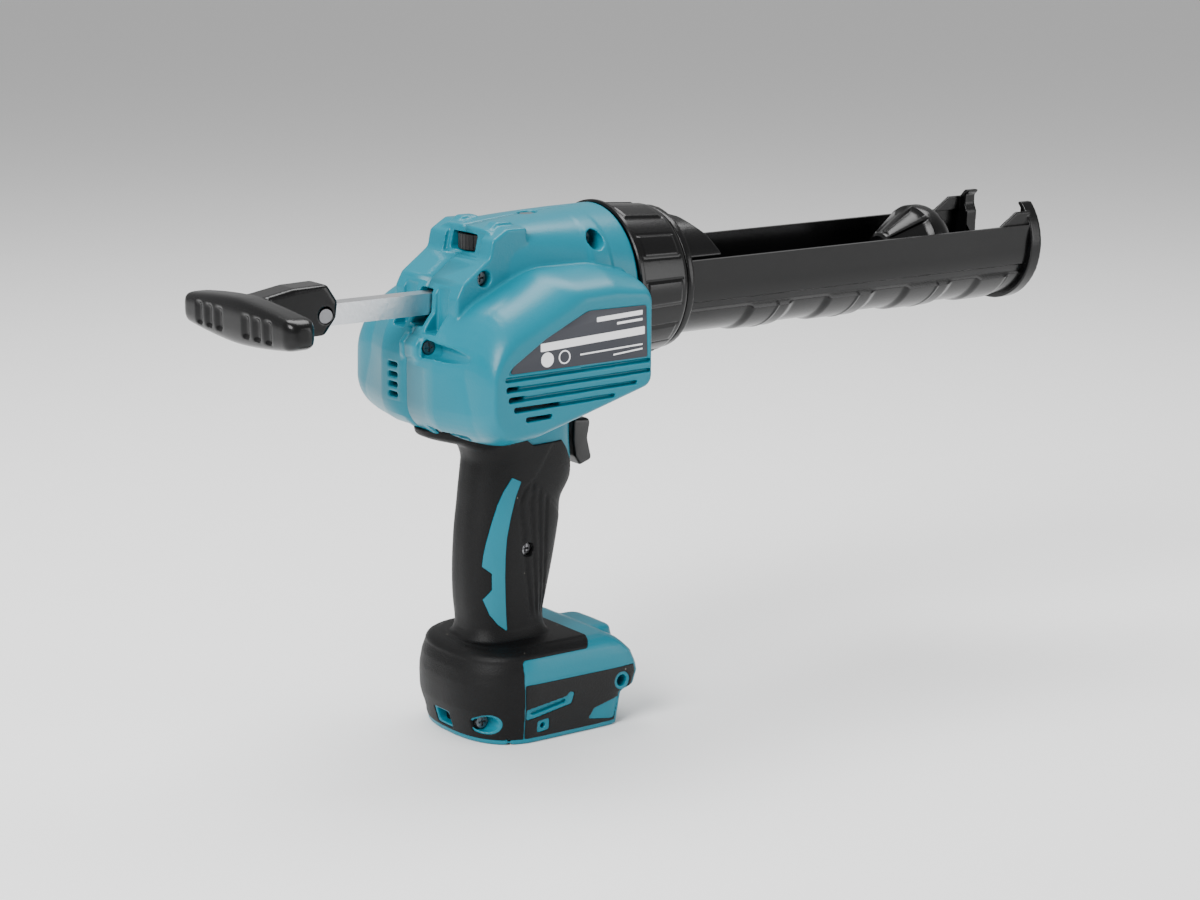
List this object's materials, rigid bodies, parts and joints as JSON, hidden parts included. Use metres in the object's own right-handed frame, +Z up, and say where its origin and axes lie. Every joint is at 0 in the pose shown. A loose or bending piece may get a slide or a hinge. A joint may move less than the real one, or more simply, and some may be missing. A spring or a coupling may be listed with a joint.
{
  "type": "cordless caulking gun",
  "caption": "Cordless caulking gun with motor drum, pistol grip, open cartridge trough, rack and piston rod with a T handle, and a slide battery base.",
  "frame": {"origin": "middle of the base's resting plane, under the grip, at the battery slide's reference point", "axes": "+X forward to the nozzle, along the cartridge; +Y left; +Z up"},
  "size_m": [0.449, 0.1186, 0.2435],
  "materials": {
    "teal_plastic": "moulded, satin",
    "grip_rubber": "fine texture, matte",
    "black_plastic": "moulded, satin gloss",
    "trigger_plastic": "moulded, satin",
    "label_film": "printed film, satin",
    "rack_steel": "zinc plated, brushed",
    "screw_steel": "dark zinc",
    "gear_steel": "machined",
    "gear_nylon": "natural nylon",
    "frame_aluminium": "die cast",
    "motor_steel": "plated",
    "magnet_ferrite": "sintered",
    "winding_copper": "enamelled",
    "bush_bronze": "sintered",
    "board_green": "coated board",
    "spring_steel": "wire"
  },
  "bodies": {
    "tool": {"housing_right": "teal_plastic", "housing_left": "teal_plastic", "grip_cover": "grip_rubber", "base_rear_cover": "grip_rubber", "base_panel_left": "grip_rubber", "base_panel_right": "grip_rubber", "name_plate_right": "label_film", "name_plate_left": "label_film", "shell_screws": "screw_steel", "top_screw": "screw_steel", "gear_frame": "frame_aluminium", "gear_frame_middle_plate": "frame_aluminium", "gear_frame_outer_plate": "frame_aluminium", "rear_rack_guide": "gear_nylon", "front_rack_guide": "gear_nylon", "pinion_bushes": "bush_bronze", "idler_pin": "gear_steel", "motor_can": "motor_steel", "motor_magnets": "magnet_ferrite", "motor_end_cap": "black_plastic", "motor_brushes": "winding_copper", "nose_sleeve": "frame_aluminium", "switch_body": "black_plastic", "dial_potentiometer": "board_green", "control_board": "board_green", "board_components": "black_plastic", "terminal_block": "black_plastic", "battery_contacts": "winding_copper", "trigger_spring": "spring_steel"},
    "rod": {"rack": "rack_steel", "pull_handle": "black_plastic", "handle_screw": "screw_steel", "piston": "black_plastic", "piston_washer": "screw_steel", "piston_screw": "screw_steel"},
    "pinion": {"rack_pinion": "gear_steel", "pinion_shaft": "gear_steel"},
    "armature": {"motor_shaft": "gear_steel", "motor_pinion": "gear_steel", "armature_core": "motor_steel", "commutator": "winding_copper", "motor_fan": "gear_nylon"},
    "first_idler": {"first_idler_gear": "gear_steel"},
    "second_idler": {"second_idler_gear": "gear_steel"},
    "output_gear": {"final_gear": "gear_steel"},
    "ring": {"retaining_ring": "black_plastic"},
    "holder": {"holder_collar": "black_plastic", "holder_trough": "black_plastic", "holder_front_plate": "black_plastic"},
    "trigger": {"trigger": "trigger_plastic", "switch_plunger": "black_plastic"},
    "dial": {"speed_dial": "trigger_plastic"}
  },
  "joints": [
    {"name": "rack_slide", "type": "slide", "parent": "tool", "child": "rod", "axis": [1, 0, 0], "range_m": [-0.18, 0.036]},
    {"name": "rack_pinion_turn", "type": "hinge", "parent": "tool", "child": "pinion", "pos_m": [0.006, 0, 0.19145], "axis": [0, 1, 0], "range_deg": [-1179.5, 236.5]},
    {"name": "motor_spin", "type": "hinge", "parent": "tool", "child": "armature", "pos_m": [-0.023, 0, 0.17419], "axis": [0, 1, 0], "continuous": true},
    {"name": "first_idler_spin", "type": "hinge", "parent": "tool", "child": "first_idler", "pos_m": [-0.00398, 0, 0.18037], "axis": [0, 1, 0], "continuous": true},
    {"name": "second_idler_spin", "type": "hinge", "parent": "tool", "child": "second_idler", "pos_m": [-0.023, 0, 0.17419], "axis": [0, 1, 0], "continuous": true},
    {"name": "output_gear_spin", "type": "hinge", "parent": "tool", "child": "output_gear", "pos_m": [0.006, 0, 0.19145], "axis": [0, 1, 0], "continuous": true},
    {"name": "ring_turn", "type": "hinge", "parent": "tool", "child": "ring", "pos_m": [0.065, 0, 0.2046], "axis": [1, 0, 0], "range_deg": [0, 60]},
    {"name": "holder_turn", "type": "hinge", "parent": "tool", "child": "holder", "pos_m": [0.08, 0, 0.2046], "axis": [1, 0, 0], "continuous": true},
    {"name": "trigger_pull", "type": "slide", "parent": "tool", "child": "trigger", "axis": [1, 0, 0], "range_m": [-0.006, 0], "stiffness_N_per_m": 600, "springref_m": 0.004, "deforming": ["trigger_spring"]},
    {"name": "dial_turn", "type": "hinge", "parent": "tool", "child": "dial", "pos_m": [-0.008, 0, 0.2298], "axis": [0, 0, 1], "range_deg": [0, 240]}
  ],
  "couplings": [
    {"joint": "rack_pinion_turn", "follows": "rack_slide", "rad_per_m": 114.29},
    {"joint": "first_idler_spin", "follows": "motor_spin", "ratio": -0.17647},
    {"joint": "second_idler_spin", "follows": "motor_spin", "ratio": 0.07563},
    {"joint": "output_gear_spin", "follows": "motor_spin", "ratio": -0.026471}
  ]
}
